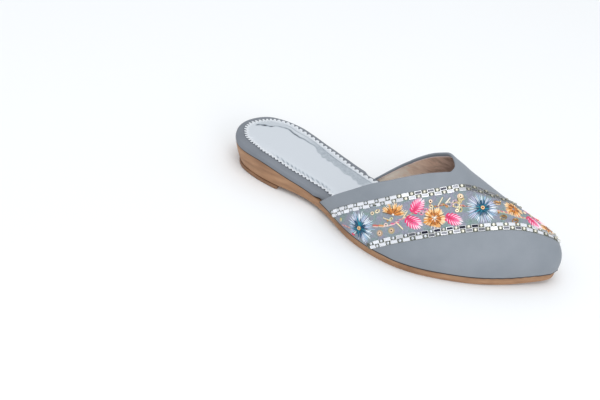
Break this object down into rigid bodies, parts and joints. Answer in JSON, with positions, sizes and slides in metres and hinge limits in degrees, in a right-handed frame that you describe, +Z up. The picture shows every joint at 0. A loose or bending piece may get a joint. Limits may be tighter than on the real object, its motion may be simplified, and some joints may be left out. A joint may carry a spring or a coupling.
{
  "type": "embroidered mule",
  "caption": "Backless slip-on mule with a closed almond toe, low heel and an embroidered band between two mirror strips across the vamp.",
  "frame": {"origin": "middle of the bottom of the shoe's box, on the floor", "axes": "+Y from heel to toe, +Z up, +X towards the outer side of the foot"},
  "size_m": [0.0912, 0.2508, 0.0584],
  "materials": {
    "sole": "tan moulded sole unit, matte",
    "heel_top": "tan moulded lift, matte",
    "footbed_wrap": "matte grey synthetic leather",
    "sock_foil": "silver foil coated sheet over thin foam",
    "upper_leather": "matte grey synthetic leather",
    "vamp_lining": "bronze coated lining cloth",
    "mirror_trim": "silver mirror bars and beads",
    "embroidery": "glossy rayon thread in blue, orange and pink, with gold beads"
  },
  "bodies": {
    "root": {"outsole": "sole", "heel_top_piece": "heel_top", "footbed": "footbed_wrap", "sock_lining": "sock_foil", "upper": "upper_leather"}
  },
  "joints": []
}
